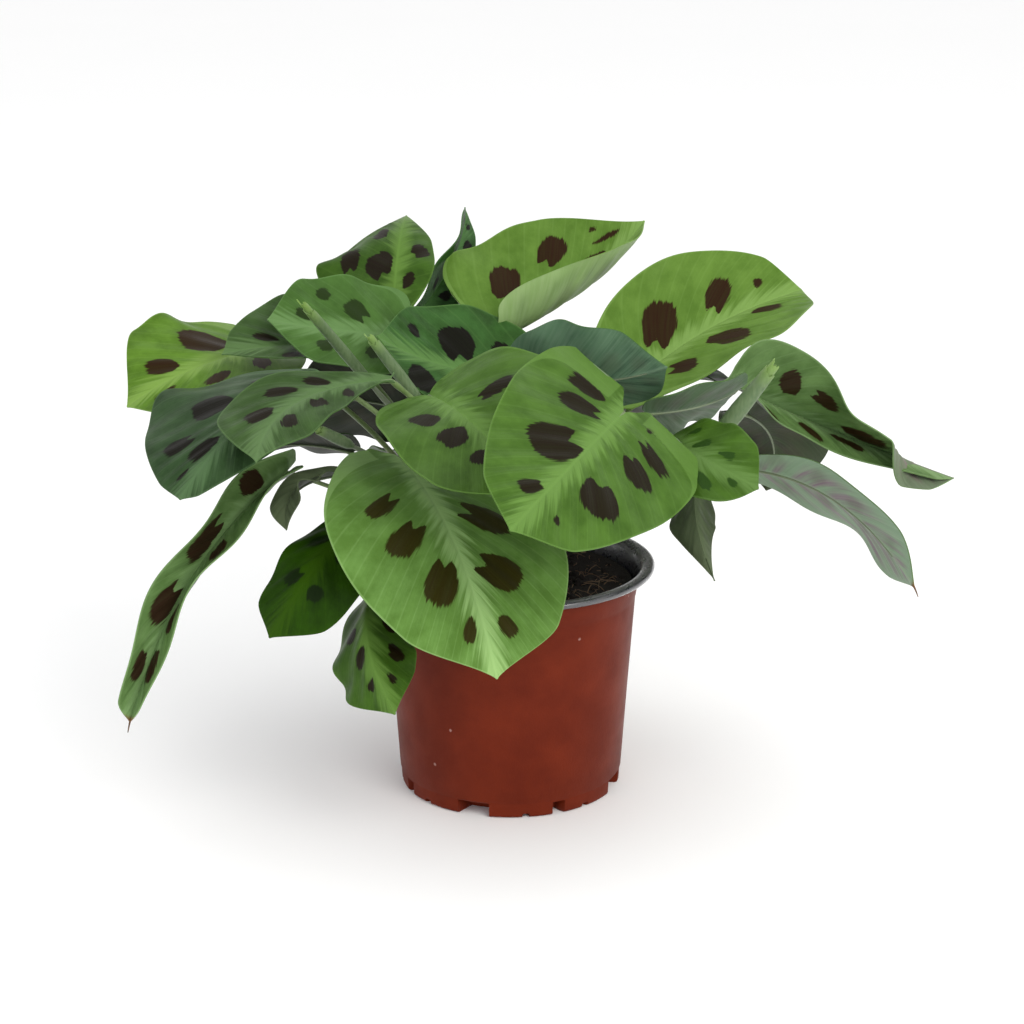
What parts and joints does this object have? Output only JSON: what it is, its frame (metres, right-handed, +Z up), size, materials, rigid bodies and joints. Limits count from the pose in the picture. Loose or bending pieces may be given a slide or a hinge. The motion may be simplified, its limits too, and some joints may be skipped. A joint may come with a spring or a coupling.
{
  "type": "potted prayer plant",
  "caption": "Leafy potted prayer plant: broad oval patterned leaves on slender stalks above a round tapered plastic nursery pot filled with dark peat.",
  "frame": {"origin": "middle of the pot's flat underside, on the surface that it stands on", "axes": "+Z up along the pot's axis; -Y is the plant's fuller side; +X runs across the plant's widest spread, to the right when seen from -Y"},
  "size_m": [0.3488, 0.3014, 0.2187],
  "materials": {
    "pot": "satin terracotta brown outside, black inside and on the lip",
    "soil": "loose dark peat with pale fibres",
    "leaf": "satin green with dark brown blotches",
    "new_leaf": "satin pale green"
  },
  "bodies": {
    "root": {"pot": "pot", "soil": "soil", "leaf_front_large": "leaf", "leaf_front_right_large": "leaf", "leaf_front_centre": "leaf", "leaf_middle_centre": "leaf", "leaf_right_upper": "leaf", "leaf_back_half_rolled": "leaf", "leaf_back_left_upright": "leaf", "leaf_middle_left": "leaf", "leaf_left_behind": "leaf", "leaf_far_left": "leaf", "leaf_left_broad": "leaf", "leaf_left_centre": "leaf", "leaf_left_drooping": "leaf", "leaf_left_small_curled": "leaf", "leaf_front_left_dark": "leaf", "leaf_front_left_low": "leaf", "leaf_centre_turned_over": "leaf", "leaf_right_turned_over": "leaf", "leaf_far_right": "leaf", "leaf_right_drooping": "leaf", "leaf_right_young": "leaf", "leaf_right_behind": "leaf", "leaf_right_narrow": "leaf", "leaf_back_folded": "leaf", "leaf_right_under": "leaf", "leaf_left_under": "leaf", "leaf_rear_left": "leaf", "leaf_rear_right": "leaf", "leaf_rear_far_right": "leaf", "leaf_rear_far_left": "leaf", "leaf_rear_upper": "leaf", "leaf_rear_low_right": "leaf", "leaf_rear_low_left": "leaf", "new_leaf_left_tall": "new_leaf", "new_leaf_left_middle": "new_leaf", "new_leaf_left_short": "new_leaf", "new_leaf_right": "new_leaf"}
  },
  "joints": []
}
